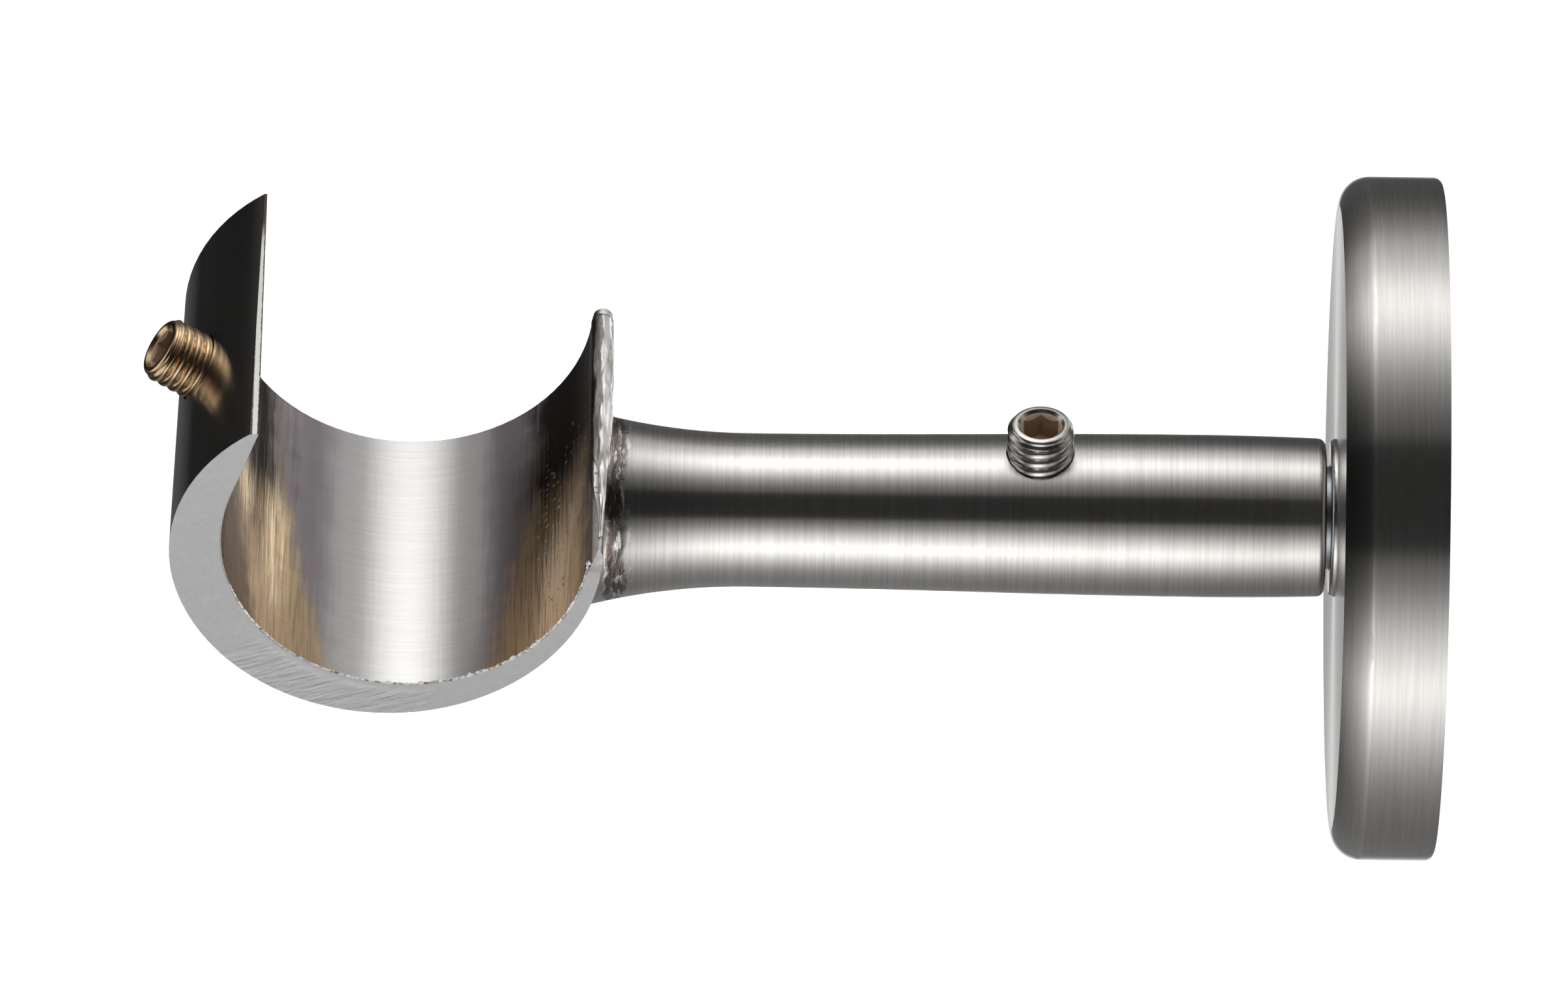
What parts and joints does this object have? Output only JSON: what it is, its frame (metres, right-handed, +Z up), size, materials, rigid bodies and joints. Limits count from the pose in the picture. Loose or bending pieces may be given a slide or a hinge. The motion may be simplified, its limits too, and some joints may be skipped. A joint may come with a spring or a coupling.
{
  "type": "curtain pole bracket",
  "caption": "Open cup bracket for a curtain pole: a cast cup and round arm on a spigot, a round wall rose over a fixing plate, and socket grub screws for the pole and the arm.",
  "frame": {"origin": "on the wall, where the axis of the arm meets it", "axes": "+X into the wall along the arm's axis, Y along the pole, +Z up"},
  "size_m": [0.1135, 0.06, 0.06],
  "materials": {
    "satin_nickel": "satin brushed nickel plate on a zinc casting",
    "screw_nickel": "bright nickel plated steel",
    "rose_nickel": "satin brushed nickel plate",
    "zinc_plate": "bright zinc plated turned steel",
    "plate_steel": "zinc plated pressed steel"
  },
  "bodies": {
    "wall_mount": {"wall_plate": "plate_steel", "spigot": "zinc_plate", "wall_rose": "rose_nickel"},
    "arm": {"cup_arm": "satin_nickel"},
    "arm_screw": {"arm_grub_screw": "screw_nickel"},
    "pole_screw": {"pole_grub_screw": "screw_nickel"}
  },
  "joints": [
    {"name": "arm_slide", "type": "slide", "parent": "wall_mount", "child": "arm", "axis": [-1, 0, 0], "range_m": [-0.0003, 0.03]},
    {"name": "arm_screw_travel", "type": "slide", "parent": "arm", "child": "arm_screw", "axis": [0, 0, 1], "range_m": [0, 0.0035]},
    {"name": "pole_screw_travel", "type": "slide", "parent": "arm", "child": "pole_screw", "axis": [-0.8192, 0, 0.5736], "range_m": [-0.0038, 0.0012]}
  ]
}
